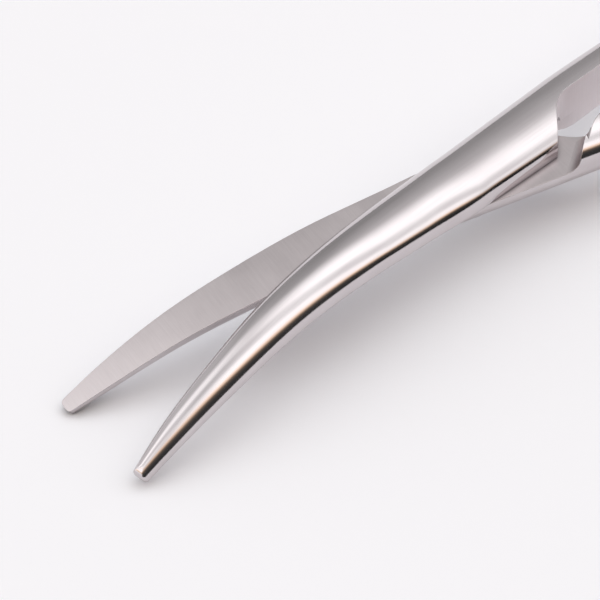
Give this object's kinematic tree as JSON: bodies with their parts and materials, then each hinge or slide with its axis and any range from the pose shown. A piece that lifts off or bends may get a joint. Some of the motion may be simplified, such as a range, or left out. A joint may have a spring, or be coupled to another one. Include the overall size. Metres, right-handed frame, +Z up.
{
  "type": "dissecting scissors",
  "caption": "Curved blunt-tipped dissecting scissors with lap joint, pivot screw and two finger rings, lying open.",
  "frame": {"origin": "centre of the footprint, on the surface that the scissors lie on", "axes": "+X from the tips towards the finger rings, +Z up from the surface, +Y to the side of the upper half's ring"},
  "size_m": [0.1444, 0.0822, 0.0099],
  "materials": {
    "upper_steel": "mirror polished outside, ground satin on the inner faces",
    "lower_steel": "mirror polished outside, ground satin on the inner faces",
    "screw_steel": "polished"
  },
  "bodies": {
    "lower": {"lower_half": "lower_steel"},
    "upper": {"upper_half": "upper_steel", "pivot_screw": "screw_steel"}
  },
  "joints": [
    {"name": "pivot", "type": "hinge", "parent": "lower", "child": "upper", "pos_m": [-0.02889, 0, 0.0067], "axis": [0.0464, 0, 0.9989], "range_deg": [-15.2, 44.8]}
  ]
}
